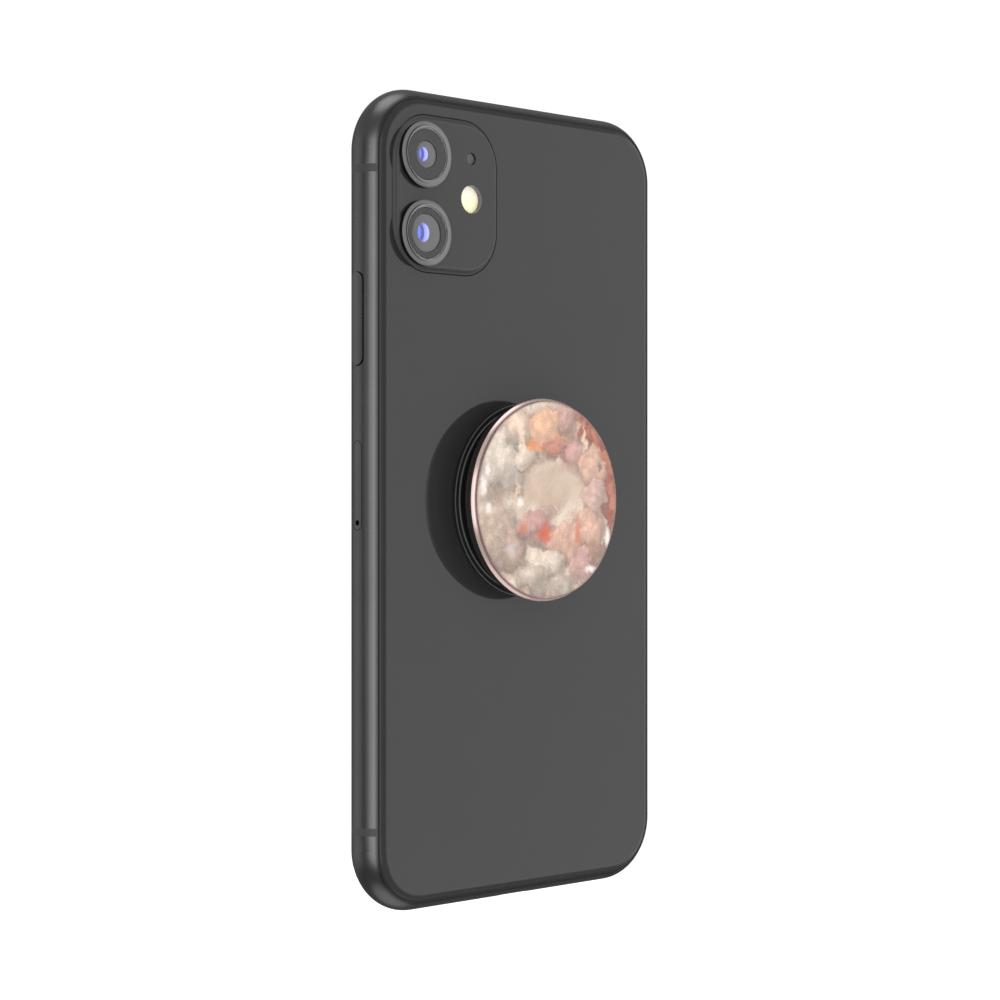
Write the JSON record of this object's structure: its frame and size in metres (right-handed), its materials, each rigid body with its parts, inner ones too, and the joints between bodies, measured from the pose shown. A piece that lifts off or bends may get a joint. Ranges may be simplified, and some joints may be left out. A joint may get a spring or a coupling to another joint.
{
  "type": "smartphone",
  "caption": "Slim smartphone with a glass back, a raised rear camera plateau, a rounded metal frame and a folding round grip that pulls out from the back.",
  "frame": {"origin": "mouth of the charging port, at the middle of the bottom edge", "axes": "+Z along the phone's length towards the camera end, +Y out of its back, +X towards the side with the power button"},
  "size_m": [0.0764, 0.0157, 0.1509],
  "materials": {
    "anodised_rail": "satin",
    "antenna_plastic": "satin",
    "plate_aluminium": "matte",
    "back_glass": "polished",
    "front_glass": "polished",
    "gasket_rubber": "matte",
    "ring_aluminium": "satin",
    "cover_glass": "polished",
    "camera_black": "matte",
    "coated_lens": "polished",
    "steel_parts": "satin",
    "flash_lens": "gloss",
    "led_phosphor": "satin",
    "dark_mesh": "matte",
    "screen_panel": "gloss",
    "speaker_black": "matte",
    "battery_pouch": "satin",
    "adhesive": "matte",
    "pull_tape": "matte",
    "circuit_board": "satin",
    "card_plastic": "satin",
    "flex_strip": "satin",
    "coil_copper": "satin",
    "ferrite": "matte",
    "button_aluminium": "satin",
    "orange_plastic": "matte",
    "grip_plastic": "satin",
    "grip_silicone": "matte",
    "rose_gold": "polished",
    "stone_disc": "polished"
  },
  "bodies": {
    "phone": {"frame_right": "anodised_rail", "frame_left": "anodised_rail", "frame_top": "anodised_rail", "frame_bottom": "anodised_rail", "antenna_breaks": "antenna_plastic", "mid_plate": "plate_aluminium", "back_glass": "back_glass", "back_gasket": "gasket_rubber", "lens_ring_upper": "ring_aluminium", "lens_ring_lower": "ring_aluminium", "lens_cover_upper": "cover_glass", "lens_cover_lower": "cover_glass", "camera_upper": "camera_black", "camera_lower": "camera_black", "lens_element_upper": "coated_lens", "lens_element_lower": "coated_lens", "camera_bracket": "steel_parts", "bracket_screws": "steel_parts", "flash_diffuser": "flash_lens", "flash_module": "led_phosphor", "rear_mic": "dark_mesh", "front_glass": "front_glass", "display_gasket": "gasket_rubber", "display_panel": "screen_panel", "display_plate": "steel_parts", "earpiece_mesh": "dark_mesh", "earpiece_speaker": "speaker_black", "front_camera": "camera_black", "face_sensor": "camera_black", "battery": "battery_pouch", "battery_adhesive": "pull_tape", "main_board": "circuit_board", "board_shields": "steel_parts", "sim_reader": "steel_parts", "charging_port": "steel_parts", "port_flex": "flex_strip", "bottom_screws": "steel_parts", "bottom_microphone": "speaker_black", "loudspeaker": "speaker_black", "haptic_motor": "steel_parts", "charging_coil": "coil_copper", "coil_shield": "ferrite", "power_switch": "flex_strip", "volume_switches": "flex_strip", "mute_switch_base": "orange_plastic", "grip_adhesive": "adhesive", "grip_base": "grip_plastic", "grip_lower_bellows": "grip_silicone"},
    "power_button": {"power_button": "button_aluminium"},
    "volume_up_button": {"volume_up_button": "button_aluminium"},
    "volume_down_button": {"volume_down_button": "button_aluminium"},
    "mute_switch": {"mute_switch": "button_aluminium"},
    "sim_tray": {"sim_tray": "button_aluminium", "sim_card": "card_plastic"},
    "grip_waist": {"grip_waist": "grip_silicone", "grip_upper_bellows": "grip_silicone"},
    "grip_carrier": {"grip_carrier": "grip_plastic"},
    "grip_top": {"grip_top_body": "grip_plastic", "grip_rim": "rose_gold", "grip_stone": "stone_disc"}
  },
  "joints": [
    {"name": "power_press", "type": "slide", "parent": "phone", "child": "power_button", "axis": [-1, 0, 0], "range_m": [0, 0.00025], "stiffness_N_per_m": 4000},
    {"name": "volume_up_press", "type": "slide", "parent": "phone", "child": "volume_up_button", "axis": [1, 0, 0], "range_m": [0, 0.00025], "stiffness_N_per_m": 4000},
    {"name": "volume_down_press", "type": "slide", "parent": "phone", "child": "volume_down_button", "axis": [1, 0, 0], "range_m": [0, 0.00025], "stiffness_N_per_m": 4000},
    {"name": "mute_slide", "type": "slide", "parent": "phone", "child": "mute_switch", "axis": [0, 1, 0], "range_m": [0, 0.001]},
    {"name": "tray_slide", "type": "slide", "parent": "phone", "child": "sim_tray", "axis": [1, 0, 0], "range_m": [0, 0.022]},
    {"name": "grip_lower_slide", "type": "slide", "parent": "phone", "child": "grip_waist", "axis": [0, 1, 0], "range_m": [0, 0.0075], "deforming": ["grip_lower_bellows"]},
    {"name": "grip_upper_slide", "type": "slide", "parent": "grip_waist", "child": "grip_carrier", "axis": [0, 1, 0], "range_m": [0, 0.0075], "deforming": ["grip_upper_bellows"]},
    {"name": "grip_top_turn", "type": "hinge", "parent": "grip_carrier", "child": "grip_top", "pos_m": [0, 0.0092, 0.07545], "axis": [0, 1, 0], "range_deg": [0, 90]}
  ],
  "couplings": [
    {"joint": "grip_lower_slide", "follows": "grip_upper_slide", "ratio": 1}
  ]
}
